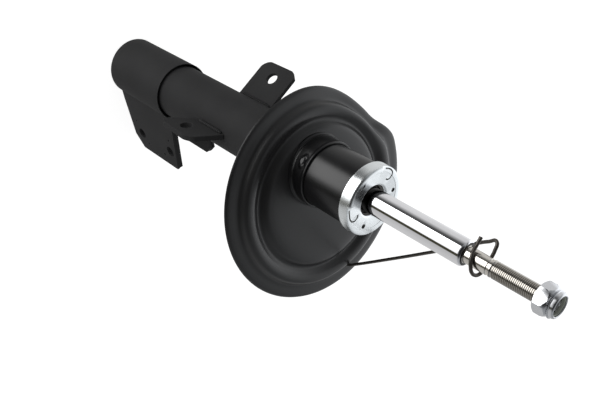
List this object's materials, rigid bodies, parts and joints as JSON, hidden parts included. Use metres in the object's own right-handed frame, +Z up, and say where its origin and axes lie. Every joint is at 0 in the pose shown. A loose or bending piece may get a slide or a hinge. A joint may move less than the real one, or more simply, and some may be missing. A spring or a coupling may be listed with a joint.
{
  "type": "suspension strut assembly",
  "caption": "gas strut with a two-ear knuckle bracket, offset tilted spring seat, welded side tabs, bump cap and threaded rod with top nut, held short by a transit wire",
  "frame": {"origin": "on the strut axis at the lower face of the reserve tube", "axes": "+Z up the strut axis to the rod end, +X from the axis toward the knuckle ears, +Y to the side of the hose tab"},
  "size_m": [0.1997, 0.206, 0.552],
  "materials": {
    "matte_black_paint": "matte black electrocoat",
    "gloss_black_paint": "glossy black",
    "zinc_plate": "bright zinc plate",
    "rod_chrome": "polished hard chrome",
    "bare_steel": "bare machined steel",
    "sintered_iron": "sintered, oily grey",
    "bronze": "dull bronze",
    "rubber": "matte black",
    "nylon": "greenish grey nylon",
    "black_wire": "dark phosphated wire"
  },
  "bodies": {
    "housing": {"reserve_tube": "matte_black_paint", "base_cap": "matte_black_paint", "knuckle_bracket": "matte_black_paint", "knuckle_stiffener": "matte_black_paint", "link_bracket": "matte_black_paint", "hose_bracket": "matte_black_paint", "link_weld_near": "matte_black_paint", "link_weld_far": "matte_black_paint", "hose_weld_near": "matte_black_paint", "hose_weld_far": "matte_black_paint", "spring_seat": "matte_black_paint", "seat_collar": "gloss_black_paint", "bump_cap": "zinc_plate", "pressure_tube": "bare_steel", "base_valve": "sintered_iron", "rod_guide": "sintered_iron", "guide_bush": "bronze", "rod_seal": "rubber", "seal_washer": "bare_steel", "transit_wire": "black_wire"},
    "rod_carrier": {"piston_band": "bronze"},
    "rod": {"piston_rod": "rod_chrome", "compression_shims": "bare_steel", "piston": "sintered_iron", "rebound_shims": "bare_steel", "piston_nut": "bare_steel", "rebound_stop": "bare_steel", "rebound_bumper": "rubber"},
    "nut_carrier": {"nut_insert": "nylon"},
    "nut": {"top_nut": "zinc_plate"}
  },
  "joints": [
    {"name": "rod_slide", "type": "slide", "parent": "housing", "child": "rod_carrier", "axis": [0, 0, 1], "range_m": [-0.07, 0], "stiffness_N_per_m": 250, "springref_m": 0.7, "deforming": ["transit_wire"]},
    {"name": "rod_spin", "type": "hinge", "parent": "rod_carrier", "child": "rod", "pos_m": [0, 0, 0.3], "axis": [0, 0, 1], "continuous": true},
    {"name": "nut_travel", "type": "slide", "parent": "rod", "child": "nut_carrier", "axis": [0, 0, 1], "range_m": [-0.036, 0]},
    {"name": "nut_spin", "type": "hinge", "parent": "nut_carrier", "child": "nut", "pos_m": [0, 0, 0.544], "axis": [0, 0, 1], "range_deg": [-8645, 0]}
  ],
  "couplings": [
    {"joint": "nut_spin", "follows": "nut_travel", "rad_per_m": 4188.8}
  ]
}
